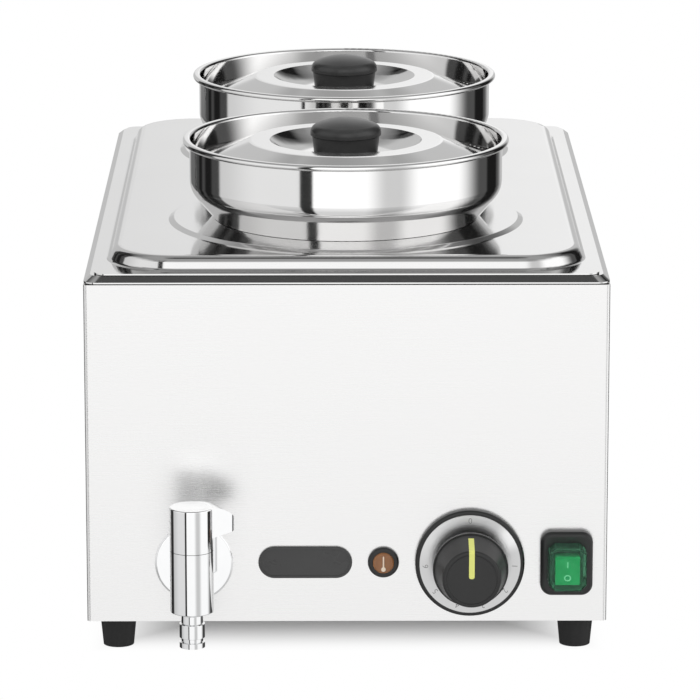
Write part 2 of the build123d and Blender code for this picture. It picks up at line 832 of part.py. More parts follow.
with BuildPart() as tap_escutcheon:
    with BuildSketch(Plane.XZ.offset(-front_y)):
        with Locations((tap_x, control_height)):
            Circle(escutcheon_radius)
            Circle(tail_radius + assembly_gap, mode=Mode.SUBTRACT)
    extrude(amount=escutcheon_thickness)
    fillet(faces().sort_by(Axis.Y)[0].edges().sort_by(SortBy.LENGTH)[-1], escutcheon_thickness * 0.6)
tap_escutcheon.part.label = "tap_escutcheon"
export_step(tap_escutcheon.part, "parts/tap_escutcheon.step")

with BuildPart() as tap_washer:
    with BuildSketch(Plane.XZ.offset(-inner_face_y)):
        with Locations((tap_x, control_height)):
            Circle(washer_radius)
            Circle(tail_radius + assembly_gap, mode=Mode.SUBTRACT)
    extrude(amount=-washer_thickness)
tap_washer.part.label = "tap_washer"
export_step(tap_washer.part, "parts/tap_washer.step")

with BuildPart() as tap_backnut:
    with BuildSketch(Plane.XZ.offset(-inner_face_y - washer_thickness)):
        with Locations((tap_x, control_height)):
            RegularPolygon(backnut_flats / 2, 6, major_radius=False)
            Circle(tail_radius + running_gap, mode=Mode.SUBTRACT)
    extrude(amount=-backnut_thickness)
tap_backnut.part.label = "tap_backnut"
export_step(tap_backnut.part, "parts/tap_backnut.step")

# Drain from the well's floor to the tail of the tap
with BuildPart() as drain_boss:
    with BuildSketch(Plane(origin=(tap_x, drain_y, well_underside))):
        Circle(drain_boss_radius)
        Circle(pipe_radius + running_gap, mode=Mode.SUBTRACT)
    extrude(amount=-drain_boss_height)
drain_boss.part.label = "drain_boss"
export_step(drain_boss.part, "parts/drain_boss.step")

with BuildPart() as drain_pipe:
    with BuildLine():
        FilletPolyline(
            (tap_x, drain_y, well_underside),
            (tap_x, drain_y, control_height),
            (tap_x, tail_end, control_height),
            radius=pipe_bend_share * (well_underside - control_height),
        )
    with BuildSketch(Plane(origin=(tap_x, drain_y, well_underside), z_dir=(0, 0, -1))):
        Circle(pipe_radius)
        Circle(water_radius, mode=Mode.SUBTRACT)
    sweep()
drain_pipe.part.label = "drain_pipe"
export_step(drain_pipe.part, "parts/drain_pipe.step")

with BuildPart() as drain_coupling:
    with BuildSketch(Plane.XZ.offset(-tail_end + coupling_lap)):
        with Locations((tap_x, control_height)):
            Circle(coupling_radius)
            Circle(tail_radius + running_gap, mode=Mode.SUBTRACT)
    extrude(amount=-coupling_lap)
    with BuildSketch(Plane.XZ.offset(-tail_end)):
        with Locations((tap_x, control_height)):
            Circle(coupling_radius)
            Circle(pipe_radius + running_gap, mode=Mode.SUBTRACT)
    extrude(amount=-coupling_lap / 2)
drain_coupling.part.label = "drain_coupling"
export_step(drain_coupling.part, "parts/drain_coupling.step")

# Dial, knob and thermostat

dial_front = dial_ring_height + dial_face_thickness
knob_back = dial_front + knob_gap
thermostat_front = inner_face_y
with BuildPart() as dial_ring:
    with BuildSketch(Plane.XZ.offset(-front_y)):
        with Locations((dial_x, control_height)):
            Circle(dial_ring_radius)
            Circle(dial_hole_radius, mode=Mode.SUBTRACT)
    extrude(amount=dial_ring_height)
    fillet(faces().sort_by(Axis.Y)[0].edges().sort_by(SortBy.LENGTH)[-1], dial_ring_height / 3)
dial_ring.part.label = "dial_ring"
export_step(dial_ring.part, "parts/dial_ring.step")

with BuildPart() as dial_face:
    with BuildSketch(Plane.XZ.offset(-front_y + dial_ring_height)):
        with Locations((dial_x, control_height)):
            Circle(dial_face_radius)
            Circle(dial_hole_radius, mode=Mode.SUBTRACT)
    extrude(amount=dial_face_thickness)
dial_face.part.label = "dial_face"
export_step(dial_face.part, "parts/dial_face.step")

knob_plane = Plane(origin=(dial_x, front_y, control_height), x_dir=(0, 0, 1), z_dir=(1, 0, 0))
knob_axis = Axis((dial_x, front_y, control_height), (0, -1, 0))
shaft_front = knob_back + shaft_engagement
skirt_end = knob_skirt_start + knob_skirt_height
with BuildPart() as thermostat_knob:
    with BuildSketch(knob_plane):
        with BuildLine():
            Polyline(
                (0, shaft_front),
                (shaft_radius + running_gap, shaft_front),
                (shaft_radius + running_gap, knob_back + bush_reach / 2),
                (bush_radius + 2 * running_gap, knob_back + bush_reach / 2),
                (bush_radius + 2 * running_gap, knob_back),
                (knob_collar_radius, knob_back),
                (knob_collar_radius, knob_skirt_start),
                (knob_skirt_radius, knob_skirt_start),
                (knob_skirt_radius, skirt_end),
                (knob_side_radius, skirt_end),
                (knob_front_radius, knob_front),
                (0, knob_front),
                close=True,
            )
        make_face()
    revolve(axis=knob_axis)
    fillet(faces().sort_by(Axis.Y)[0].edges(), knob_edge_radius)
    with BuildSketch(Plane.XZ.offset(-front_y + knob_front)):
        with Locations((dial_x, control_height)):
            Circle(knob_groove_radius)
            Circle(knob_groove_radius - knob_groove_width, mode=Mode.SUBTRACT)
    extrude(amount=-knob_groove_depth, mode=Mode.SUBTRACT)
thermostat_knob_form = thermostat_knob.part

# The pointer is a coloured strip let into the knob, from its side to the middle of its front
side_slope = degrees(atan2(knob_side_radius - knob_front_radius, knob_front - skirt_end))
pointer_plane = Plane(origin=(dial_x, front_y, control_height), x_dir=(0, 0, 1), z_dir=(1, 0, 0))
pointer_outer = knob_side_radius - pointer_start_share * (knob_side_radius - knob_front_radius)
pointer_start = skirt_end + pointer_start_share * (knob_front - skirt_end)
with BuildPart() as knob_pointer:
    with BuildSketch(pointer_plane):
        with BuildLine():
            Polyline(
                (pointer_end_rise, knob_front - pointer_depth),
                (pointer_end_rise, knob_front + pointer_proud),
                (knob_front_radius, knob_front + pointer_proud),
                (pointer_outer + pointer_proud, pointer_start),
                (pointer_outer - pointer_depth, pointer_start),
                (knob_front_radius - pointer_depth, knob_front - pointer_depth),
                close=True,
            )
        make_face()
        fillet(vertices().sort_by_distance((knob_front_radius, knob_front + pointer_proud))[0], knob_edge_radius)
    extrude(amount=pointer_width / 2, both=True)
    fillet(edges().filter_by(Axis.Y).group_by(Axis.Z)[0], pointer_width * 0.4)
knob_pointer.part.label = "knob_pointer"
export_step(knob_pointer.part, "parts/knob_pointer.step")

with BuildPart() as thermostat_knob:
    add(thermostat_knob_form)
    add(knob_pointer.part, mode=Mode.SUBTRACT)
thermostat_knob.part.label = "thermostat_knob"
export_step(thermostat_knob.part, "parts/thermostat_knob.step")

shaft_length = shaft_front + sheet + thermostat_depth / 3
with BuildPart() as knob_shaft:
    with BuildSketch(Plane.XZ.offset(-front_y + shaft_front - running_gap)):
        with Locations((dial_x, control_height)):
            Circle(shaft_radius)
    extrude(amount=-shaft_length)
knob_shaft.part.label = "knob_shaft"
export_step(knob_shaft.part, "parts/knob_shaft.step")

thermostat_back = thermostat_front + thermostat_depth
with BuildPart() as thermostat_body:
    with BuildSketch(Plane.XZ.offset(-thermostat_front)):
        with Locations((dial_x, control_height)):
            RectangleRounded(thermostat_width, thermostat_tall, thermostat_corner)
    extrude(amount=-thermostat_depth)
    with BuildSketch(Plane.XZ.offset(-thermostat_front)):
        with Locations((dial_x, control_height)):
            Circle(bush_radius)
    extrude(amount=sheet + bush_reach)
    with BuildSketch(Plane.XZ.offset(-front_y + bush_reach)):
        with Locations((dial_x, control_height)):
            Circle(shaft_radius + running_gap)
    extrude(amount=-shaft_length, mode=Mode.SUBTRACT)
    with BuildSketch(Plane.XZ.offset(-thermostat_back)):
        with Locations((dial_x, control_height)):
            with GridLocations(thermostat_width / 2, 0, 2, 1):
                Rectangle(blade_width, blade_thickness)
    extrude(amount=-blade_length)
thermostat_body.part.label = "thermostat_body"
export_step(thermostat_body.part, "parts/thermostat_body.step")

bulb_front_y = mid_y - bulb_from_middle

# The sensing bulb lies against the well's floor, held by a strap clip
bulb_z = well_underside - bulb_radius - assembly_gap
capillary_start = (dial_x, thermostat_back, control_height + thermostat_tall / 3)
with BuildPart() as thermostat_bulb:
    with BuildSketch(Plane(origin=(bulb_x, bulb_front_y, bulb_z), x_dir=(1, 0, 0), z_dir=(0, 1, 0))):
        Circle(bulb_radius)
    extrude(amount=bulb_length)
    fillet(edges().filter_by(GeomType.CIRCLE), bulb_radius * 0.6)
thermostat_bulb.part.label = "thermostat_bulb"
export_step(thermostat_bulb.part, "parts/thermostat_bulb.step")

capillary_turn = thermostat_back + 3 * capillary_bend
with BuildPart() as capillary:
    with BuildLine():
        FilletPolyline(
            capillary_start,
            (dial_x, capillary_turn, capillary_start[2]),
            (bulb_x, capillary_turn, capillary_start[2]),
            (bulb_x, capillary_turn, bulb_z),
            (bulb_x, bulb_front_y, bulb_z),
            radius=capillary_bend,
        )
    with BuildSketch(Plane(origin=capillary_start, x_dir=(1, 0, 0), z_dir=(0, 1, 0))):
        Circle(capillary_radius)
    sweep()
capillary.part.label = "capillary"
export_step(capillary.part, "parts/capillary.step")

clip_wall = 0.8
with BuildPart() as bulb_clip:
    with BuildSketch(
        Plane(origin=(bulb_x, bulb_front_y + bulb_length / 2, well_underside), x_dir=(1, 0, 0), z_dir=(0, 1, 0))
    ):
        with Locations((0, bulb_radius + clip_wall)):
            Rectangle(2 * (bulb_radius + 2 * clip_wall), 2 * (bulb_radius + clip_wall))
        with Locations((0, clip_wall / 2)):
            Rectangle(6 * bulb_radius, clip_wall)
        with Locations((0, bulb_radius)):
            Rectangle(2 * (bulb_radius + clip_wall / 4), 2 * (bulb_radius + clip_wall / 2), mode=Mode.SUBTRACT)
    extrude(amount=clamp_width / 2)
bulb_clip.part.label = "bulb_clip"
export_step(bulb_clip.part, "parts/bulb_clip.step")

cutout_y = mid_y - cutout_from_middle

# A bimetal cut-out pressed to the well's floor guards against boiling dry
with BuildPart() as thermal_cutout:
    with BuildSketch(Plane(origin=(cutout_x, cutout_y, well_underside))):
        Circle(cutout_radius)
    extrude(amount=-cutout_height)
    with BuildSketch(Plane(origin=(cutout_x, cutout_y, well_underside - cutout_height))):
        with GridLocations(cutout_radius, 0, 2, 1):
            Rectangle(blade_thickness, blade_width)
    extrude(amount=-blade_length)
thermal_cutout.part.label = "thermal_cutout"
export_step(thermal_cutout.part, "parts/thermal_cutout.step")

# Signal lamp

with BuildPart() as lamp_bezel:
    with BuildSketch(Plane.XZ.offset(-front_y)):
        with Locations((lamp_x, control_height)):
            Circle(lamp_bezel_radius)
            Circle(lamp_lens_radius, mode=Mode.SUBTRACT)
    extrude(amount=lamp_bezel_reach)
    fillet(faces().sort_by(Axis.Y)[0].edges().sort_by(SortBy.LENGTH)[-1], lamp_bezel_reach / 2)
lamp_bezel.part.label = "lamp_bezel"
export_step(lamp_bezel.part, "parts/lamp_bezel.step")

with BuildPart() as lamp_lens:
    with BuildSketch(Plane.XZ.offset(-front_y)):
        with Locations((lamp_x, control_height)):
            Circle(lamp_lens_radius - running_gap)
    extrude(amount=lamp_lens_reach)
    fillet(faces().sort_by(Axis.Y)[0].edges(), lamp_lens_reach / 3)
lamp_lens.part.label = "lamp_lens"
export_step(lamp_lens.part, "parts/lamp_lens.step")

with BuildPart() as lamp_body:
    with BuildSketch(Plane.XZ.offset(-front_y)):
        with Locations((lamp_x, control_height)):
            Circle(lamp_body_radius)
    extrude(amount=-lamp_body_depth)
    with BuildSketch(Plane.XZ.offset(-front_y - lamp_body_depth)):
        with Locations((lamp_x, control_height)):
            with GridLocations(lamp_body_radius, 0, 2, 1):
                Rectangle(blade_thickness, blade_width / 2)
    extrude(amount=-blade_length)
lamp_body.part.label = "lamp_body"
export_step(lamp_body.part, "parts/lamp_body.step")

with BuildPart() as lamp_nut:
    with BuildSketch(Plane.XZ.offset(-inner_face_y)):
        with Locations((lamp_x, control_height)):
            RegularPolygon(lamp_nut_flats / 2, 6, major_radius=False)
            Circle(lamp_body_radius + running_gap, mode=Mode.SUBTRACT)
    extrude(amount=-lamp_nut_thickness)
lamp_nut.part.label = "lamp_nut"
export_step(lamp_nut.part, "parts/lamp_nut.step")

# Rocker switch: body with a front collar, frame, rocker, and a soft clear cover

switch_centre = (switch_x, control_height)
boot_base = 2.0
with BuildPart() as switch_frame:
    with BuildSketch(Plane.XZ.offset(-front_y)):
        with Locations(switch_centre):
            RectangleRounded(frame_width, frame_tall, frame_corner)
    extrude(amount=frame_reach)
    fillet(faces().sort_by(Axis.Y)[0].edges(), frame_edge_radius)
    with BuildSketch(Plane.XZ.offset(-front_y)):
        with Locations(switch_centre):
            Rectangle(boot_width + 2 * assembly_gap, boot_tall + 2 * assembly_gap)
            chamfer(vertices(), boot_corner)
    extrude(amount=frame_reach, mode=Mode.SUBTRACT)
switch_frame.part.label = "switch_frame"
export_step(switch_frame.part, "parts/switch_frame.step")

with BuildPart() as switch_boot:
    with BuildSketch(Plane.XZ.offset(-front_y)):
        with Locations(switch_centre):
            Rectangle(boot_width, boot_tall)
            chamfer(vertices(), boot_corner)
    extrude(amount=boot_reach)
    fillet(faces().sort_by(Axis.Y)[0].edges(), boot_wall * 1.5)
    with BuildSketch(Plane.XZ.offset(-front_y)):
        with Locations(switch_centre):
            Rectangle(boot_width - 2 * boot_wall, boot_tall - 2 * boot_wall)
            chamfer(vertices(), boot_corner - boot_wall / 2)
    extrude(amount=boot_reach - boot_wall, mode=Mode.SUBTRACT)
switch_boot.part.label = "switch_boot"
export_step(switch_boot.part, "parts/switch_boot.step")

switch_back = switch_depth + sheet
blade_spacing = collar_tall / 2
with BuildPart() as switch_body:
    with BuildSketch(Plane.XZ.offset(-front_y + collar_reach)):
        with Locations(switch_centre):
            Rectangle(collar_width, collar_tall)
            chamfer(vertices(), boot_corner - boot_wall)
    extrude(amount=-collar_reach - switch_back)
    with BuildSketch(Plane.XZ.offset(-front_y + collar_reach)):
        with Locations(switch_centre):
            RectangleRounded(collar_width - 2 * collar_wall, collar_tall - 2 * collar_wall, 1)
    extrude(amount=-collar_reach, mode=Mode.SUBTRACT)
    with BuildSketch(Plane(origin=(switch_x, front_y - rocker_pivot_reach, control_height), z_dir=(1, 0, 0))):
        Circle(rocker_pin_radius + running_gap)
    extrude(amount=collar_width / 2 - collar_wall / 4, both=True, mode=Mode.SUBTRACT)
    with BuildSketch(Plane.XZ.offset(-front_y - switch_back)):
        with Locations(switch_centre):
            with GridLocations(collar_width / 2, blade_spacing, 2, 2):
                Rectangle(blade_thickness, blade_width)
    extrude(amount=-blade_length)
switch_body.part.label = "switch_body"
export_step(switch_body.part, "parts/switch_body.step")

# The rocker rests tilted, with its lower half pressed in
with BuildPart() as rocker_form:
    with BuildSketch(Plane(origin=(switch_x, front_y, control_height), x_dir=(0, 0, 1), z_dir=(1, 0, 0))):
        with BuildLine():
            Polyline(
                (-rocker_neck_tall / 2, rocker_back + rocker_pin_radius),
                (-rocker_neck_tall / 2, rocker_neck_end - rocker_pin_radius),
                (-rocker_tall / 2, rocker_neck_end),
                (-rocker_tall / 2, rocker_face),
                (rocker_tall / 2, rocker_face),
                (rocker_tall / 2, rocker_neck_end),
                (rocker_neck_tall / 2, rocker_neck_end - rocker_pin_radius),
                (rocker_neck_tall / 2, rocker_back + rocker_pin_radius),
                close=True,
            )
        make_face()
    extrude(amount=rocker_width / 2, both=True)
    with BuildSketch(Plane(origin=(switch_x, front_y - rocker_pivot_reach, control_height), z_dir=(1, 0, 0))):
        Circle(rocker_pin_radius)
    extrude(amount=collar_width / 2 - collar_wall / 2, both=True)
rocker_pivot = Axis((switch_x, front_y - rocker_pivot_reach, control_height), (1, 0, 0))
with BuildPart() as switch_rocker:
    add(rocker_form.part.rotate(rocker_pivot, rocker_tilt))
switch_rocker.part.label = "switch_rocker"
export_step(switch_rocker.part, "parts/switch_rocker.step")

# Blank badge

with BuildPart() as badge:
    with BuildSketch(Plane.XZ.offset(-front_y)):
        with Locations((badge_x, control_height)):
            SlotOverall(badge_length, badge_tall)
    extrude(amount=badge_thickness)
    fillet(faces().sort_by(Axis.Y)[0].edges(), badge_edge_radius)
    with BuildSketch(Plane.XZ.offset(-front_y + badge_thickness)):
        with Locations((badge_x, control_height)):
            SlotOverall(badge_length - 2 * badge_rim, badge_tall - 2 * badge_rim)
    extrude(amount=-badge_recess, mode=Mode.SUBTRACT)
    with BuildSketch(Plane.XZ.offset(-front_y)):
        with Locations((badge_x, control_height)):
            with GridLocations(badge_pin_spacing, 0, 2, 1):
                Circle(badge_pin_radius)
    extrude(amount=-2 * sheet)
badge.part.label = "badge"
export_step(badge.part, "parts/badge.step")

# Heating element: one tube bent round under the well, with a cold pin at each end

element_z = well_underside - element_radius - assembly_gap
element_first_y = mid_y - element_half_length
element_last_y = mid_y + element_half_length
element_front = element_first_y - element_lead_in
with BuildPart() as heating_element:
    with BuildLine():
        FilletPolyline(
            (element_entry, element_front, element_z),
            (element_entry, element_first_y, element_z),
            (element_half_width, element_first_y + element_bend, element_z),
            (element_half_width, element_last_y, element_z),
            (-element_half_width, element_last_y, element_z),
            (-element_half_width, element_first_y + element_bend, element_z),
            (-element_entry, element_first_y, element_z),
            (-element_entry, element_front, element_z),
            radius=element_bend,
        )
    with BuildSketch(Plane(origin=(element_entry, element_front, element_z), x_dir=(1, 0, 0), z_dir=(0, 1, 0))):
        Circle(element_radius)
    sweep()
    with BuildSketch(Plane(origin=(0, element_front, element_z), x_dir=(1, 0, 0), z_dir=(0, -1, 0))):
        with GridLocations(2 * element_entry, 0, 2, 1):
            Circle(pin_radius)
    extrude(amount=pin_length)
heating_element.part.label = "heating_element"
export_step(heating_element.part, "parts/heating_element.step")

clamp_top = element_z - element_radius - assembly_gap
clamp_length = 2 * (element_half_width + 2 * element_bend)
with BuildPart() as element_clamps:
    with BuildSketch(level(clamp_top)):
        with GridLocations(0, element_half_length, 1, 2):
            Rectangle(clamp_length, clamp_width)
    extrude(amount=-clamp_thickness)
    with BuildSketch(level(clamp_top)):
        with GridLocations(clamp_length - clamp_width, element_half_length, 2, 2):
            Circle(screw_radius)
    extrude(amount=well_underside - clamp_top)
element_clamps.part.label = "element_clamps"
export_step(element_clamps.part, "parts/element_clamps.step")

# Supply: gland in the rear panel, terminal block, earth stud and the leads inside

with BuildPart() as cable_gland:
    with BuildSketch(Plane.XZ.offset(-rear_y)):
        with Locations((gland_x, gland_height)):
            RegularPolygon(gland_radius, 6)
    extrude(amount=-gland_reach / 3)
    with BuildSketch(Plane.XZ.offset(-rear_y - gland_reach / 3)):
        with Locations((gland_x, gland_height)):
            Circle(gland_radius * 0.85)
    extrude(amount=-gland_reach * 2 / 3)
    fillet(faces().sort_by(Axis.Y)[-1].edges(), gland_reach / 5)
    with BuildSketch(Plane.XZ.offset(-rear_y)):
        with Locations((gland_x, gland_height)):
            Circle(gland_thread_radius)
    extrude(amount=gland_inside)
    with BuildSketch(Plane.XZ.offset(-rear_y + gland_inside)):
        with Locations((gland_x, gland_height)):
            Circle(gland_bore_radius)
    extrude(amount=-gland_inside - gland_reach, mode=Mode.SUBTRACT)
cable_gland.part.label = "cable_gland"
export_step(cable_gland.part, "parts/cable_gland.step")

with BuildPart() as gland_nut:
    with BuildSketch(Plane.XZ.offset(-rear_y + sheet)):
        with Locations((gland_x, gland_height)):
            RegularPolygon(gland_nut_flats / 2, 6, major_radius=False)
            Circle(gland_thread_radius + running_gap, mode=Mode.SUBTRACT)
    extrude(amount=gland_nut_thickness)
gland_nut.part.label = "gland_nut"
export_step(gland_nut.part, "parts/gland_nut.step")

block_y = rear_y - block_from_rear
block_poles = 3
block_front_y = block_y - block_depth / 2
pole_pitch = block_width / block_poles
with BuildPart() as terminal_block:
    with BuildSketch(Plane(origin=(gland_x, block_y, base_top))):
        Rectangle(block_width, block_depth)
    extrude(amount=block_tall * 0.6)
    with BuildSketch(Plane(origin=(gland_x, block_y, base_top))):
        with GridLocations(pole_pitch, 0, block_poles, 1):
            Rectangle(pole_pitch * 0.8, block_depth * 0.5)
    extrude(amount=block_tall)
terminal_block.part.label = "terminal_block"
export_step(terminal_block.part, "parts/terminal_block.step")

stud_x = gland_x - block_width
stud_y = block_front_y - 2 * stud_flats
with BuildPart() as earth_stud:
    with BuildSketch(Plane(origin=(stud_x, stud_y, base_top))):
        RegularPolygon(stud_flats / 2, 6, major_radius=False)
    extrude(amount=stud_height / 3)
    with BuildSketch(Plane(origin=(stud_x, stud_y, base_top))):
        Circle(stud_radius)
    extrude(amount=stud_height)
earth_stud.part.label = "earth_stud"
export_step(earth_stud.part, "parts/earth_stud.step")


def lead(points):
    # one insulated lead along straight runs joined by tangent arcs, from a terminal to a terminal
    start = Vector(points[0])
    heading = Vector(points[1]) - start
    with BuildPart() as wire:
        with BuildLine():
            FilletPolyline(*points, radius=wire_bend)
        with BuildSketch(Plane(origin=start, z_dir=heading)):
            Circle(wire_radius)
        sweep()
    return wire.part


lead_level = base_top + block_tall * 0.3
lead_run = 24.0
switch_blade_y = front_y + switch_back + blade_length
thermostat_blade_y = thermostat_back + blade_length
upper_blade_z = control_height + blade_spacing / 2
lower_blade_z = control_height - blade_spacing / 2
left_blade_x = switch_x - collar_width / 4
right_blade_x = switch_x + collar_width / 4
thermostat_blades_x = (dial_x - thermostat_width / 4, dial_x + thermostat_width / 4)
cutout_blade_z = well_underside - cutout_height - blade_length
cutout_lead_z = cutout_blade_z - lead_run / 2
pin_tip_y = element_front - pin_length
pole_x = [gland_x + pole_pitch * (pole - 1) for pole in range(block_poles)]

supply_leads = Compound(
    children=[
        lead(
            [
                (block_pole_x, block_front_y, lead_level),
                (block_pole_x, switch_blade_y + 4 * lead_run, lead_level),
                (blade_x, switch_blade_y + 2 * lead_run, lower_blade_z),
                (blade_x, switch_blade_y, lower_blade_z),
            ]
        )
        for block_pole_x, blade_x in ((pole_x[1], left_blade_x), (pole_x[2], right_blade_x))
    ]
)
supply_leads.label = "supply_leads"
export_step(supply_leads, "parts/supply_leads.step")

earth_lead = lead(
    [
        (pole_x[0], block_front_y, lead_level),
        (pole_x[0], stud_y, lead_level),
        (stud_x + stud_flats / 2, stud_y, lead_level),
    ]
)
earth_lead.label = "earth_lead"
export_step(earth_lead, "parts/earth_lead.step")

heater_leads = Compound(
    children=[
        lead(
            [
                (left_blade_x, switch_blade_y, upper_blade_z),
                (left_blade_x, switch_blade_y + lead_run, upper_blade_z),
                (thermostat_blades_x[1], thermostat_blade_y + lead_run, control_height),
                (thermostat_blades_x[1], thermostat_blade_y, control_height),
            ]
        ),
        lead(
            [
                (thermostat_blades_x[0], thermostat_blade_y, control_height),
                (thermostat_blades_x[0], thermostat_blade_y + lead_run, control_height),
                (element_entry, pin_tip_y - lead_run, element_z),
                (element_entry, pin_tip_y, element_z),
            ]
        ),
        lead(
            [
                (-element_entry, pin_tip_y, element_z),
                (-element_entry, pin_tip_y - lead_run, element_z),
                (-element_entry, pin_tip_y - lead_run, cutout_lead_z),
                (cutout_x - cutout_radius / 2, cutout_y, cutout_lead_z),
                (cutout_x - cutout_radius / 2, cutout_y, cutout_blade_z),
            ]
        ),
        lead(
            [
                (cutout_x + cutout_radius / 2, cutout_y, cutout_blade_z),
                (cutout_x + cutout_radius / 2, cutout_y, cutout_lead_z),
                (right_blade_x, switch_blade_y + 2 * lead_run, upper_blade_z),
                (right_blade_x, switch_blade_y, upper_blade_z),
            ]
        ),
    ]
)
heater_leads.label = "heater_leads"
export_step(heater_leads, "parts/heater_leads.step")
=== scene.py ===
import json
from math import cos, pi, radians, sin

import bmesh
import bpy
from mathutils import Matrix, Vector


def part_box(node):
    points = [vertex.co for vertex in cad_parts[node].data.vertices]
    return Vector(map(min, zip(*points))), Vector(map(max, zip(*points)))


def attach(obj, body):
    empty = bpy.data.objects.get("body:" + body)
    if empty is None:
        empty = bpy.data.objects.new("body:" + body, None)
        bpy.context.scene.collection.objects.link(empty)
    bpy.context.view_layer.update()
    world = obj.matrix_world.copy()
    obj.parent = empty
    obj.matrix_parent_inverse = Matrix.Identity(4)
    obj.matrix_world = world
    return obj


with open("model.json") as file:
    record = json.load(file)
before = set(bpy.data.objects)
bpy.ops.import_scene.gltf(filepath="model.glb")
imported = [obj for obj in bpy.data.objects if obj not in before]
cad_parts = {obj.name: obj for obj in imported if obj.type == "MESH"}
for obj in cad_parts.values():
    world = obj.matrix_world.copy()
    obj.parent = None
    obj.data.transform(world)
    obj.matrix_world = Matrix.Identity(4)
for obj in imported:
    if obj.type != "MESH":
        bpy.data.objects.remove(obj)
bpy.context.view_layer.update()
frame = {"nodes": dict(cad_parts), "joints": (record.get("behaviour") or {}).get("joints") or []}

# The camera stands about three metres in front and looks slightly down on the
# plate, as a product photographer's does. Its long lens keeps the sides nearly upright.
photo_width = 700
focal_pixels = 4607.5
sensor_width = 36
camera_side, camera_distance, camera_height = -0.01363, 2.88364, 0.87008
camera_down_tilt, camera_turn = 13.0515, -0.3111
panel_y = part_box("front_panel")[0].y
camera_data = bpy.data.cameras.new("camera")
camera_data.sensor_width = sensor_width
camera_data.lens = focal_pixels * sensor_width / photo_width
camera = bpy.data.objects.new("camera", camera_data)
camera.location = (camera_side, panel_y - camera_distance, camera_height)
camera.rotation_euler = (radians(90 - camera_down_tilt), 0, radians(camera_turn))
bpy.context.scene.collection.objects.link(camera)
bpy.context.scene.camera = camera
bpy.context.scene.view_settings.view_transform = "Standard"


# The studio is a white tent all round. Its dark gaps show as upright stripes in
# polished metal, and dull surfaces get plain even daylight.
class Shade:
    """A socket of a node tree, so that shader maths is written as Python expressions."""

    def __init__(self, tree, socket=None):
        self.tree = tree
        self.socket = socket

    def node(self, kind, sockets=None, out=0, **settings):
        made = self.tree.nodes.new(kind)
        for name, value in settings.items():
            setattr(made, name, value)
        for name, value in (sockets or {}).items():
            if isinstance(value, Shade):
                self.tree.links.new(value.socket, made.inputs[name])
            else:
                made.inputs[name].default_value = value
        return Shade(self.tree, made.outputs[out])

    def maths(self, operation, *values):
        return self.node("ShaderNodeMath", dict(enumerate(values)), operation=operation)

    def __add__(self, other):
        return self.maths("ADD", self, other)

    __radd__ = __add__

    def __sub__(self, other):
        return self.maths("SUBTRACT", self, other)

    def __rsub__(self, other):
        return self.maths("SUBTRACT", other, self)

    def __mul__(self, other):
        return self.maths("MULTIPLY", self, other)

    def __lt__(self, other):
        return self.maths("LESS_THAN", self, other)

    def fade(self, start, end, first, last):
        # runs smoothly from the first level to the last, between two values of the socket
        return self.node(
            "ShaderNodeMapRange",
            {"Value": self, "From Min": start, "From Max": end, "To Min": first, "To Max": last},
            interpolation_type="SMOOTHSTEP",
        )

    def band(self, low, high, soft):
        # 1 between low and high, falling off softly on both sides
        rise = self.fade(low - soft, low + soft, 0.0, 1.0)
        fall = self.fade(high - soft, high + soft, 0.0, 1.0)
        return rise * (1 - fall)

    def axis(self, name):
        return self.node("ShaderNodeSeparateXYZ", {0: self}, out=name)

    def tint(self, factor, first, second):
        return self.node("ShaderNodeMix", {0: factor, 6: first, 7: second}, out=2, data_type="RGBA")

    def feeds(self, shader, name):
        self.tree.links.new(self.socket, shader.inputs[name])


white = (1, 1, 1, 1)
day_level = 0.5
room = bpy.data.worlds.new("room")
bpy.context.scene.world = room
room.use_nodes = True
backdrop = room.node_tree.nodes["Background"]
air = Shade(room.node_tree)
heading = air.node("ShaderNodeTexCoord", out="Generated")
east, north, height = (heading.axis(letter) for letter in "XYZ")
bearing = air.maths("ARCTAN2", east, north * -1) * (180 / pi)

# Bearings are in degrees, 0 towards the camera and growing to the east. Each gap
# in the tent is a share of the light that is missing there.
near_table = height.fade(-0.42, -0.30, 0.5, 1.0)
dark_pole = bearing.band(-34, -24.5, soft=1.0) * 0.97
grey_screen = bearing.band(22, 48, soft=9.0) * 0.42
left_wall = bearing.band(-106.5, -34, soft=1.0) * bearing.fade(-106, -66, 0.44, 0.27)
left_folds = bearing.band(-138, -132, soft=1.5) + bearing.band(-127, -117, soft=2.0)
left_gap = bearing.band(-146, -106.5, soft=1.5) * 0.945 + left_folds * 0.045
right_gap = bearing.fade(88, 117, 0.0, 0.93) * bearing.fade(148, 176, 1.0, 0.0)
right_fold = bearing.band(127, 146, soft=2.0) * 0.06
far_left = bearing.fade(-178, -158, 0.0, 0.88) * (bearing < -146) * height.fade(-0.19, -0.10, 1.0, 0.5)
gaps = dark_pole + grey_screen + left_wall + (left_gap + right_gap + right_fold) * near_table + far_left
aside = air.maths("ABSOLUTE", east)
back_wall = north.fade(0.3, 0.6, 0.0, 1.0) * air.maths(
    "MAXIMUM", east.fade(-0.09, 0.09, 0.36, 0.20), aside.fade(0.10, 0.19, 0.0, 0.54))
table_edge = north.fade(0.6, 0.85, 0.0, 1.0) * height.band(-0.30, 0.05, soft=0.06) * 0.52
missing = air.maths("MAXIMUM", air.maths("MAXIMUM", gaps, back_wall), table_edge)
floor_fall = height.fade(-0.55, -0.08, 0.70, 1.22)
ceiling_fall = height.fade(0.56, 0.84, 1.0, 0.30) * height.fade(0.975, 0.993, 1.0, 0.20)
tent = (1 - missing * height.band(-1, 0.8, soft=0.15)) * floor_fall * ceiling_fall
to_camera = air.node("ShaderNodeLightPath", out="Is Camera Ray")
in_mirror = air.node("ShaderNodeLightPath", out="Is Glossy Ray")
through_clear = air.node("ShaderNodeLightPath", out="Is Transmission Ray")
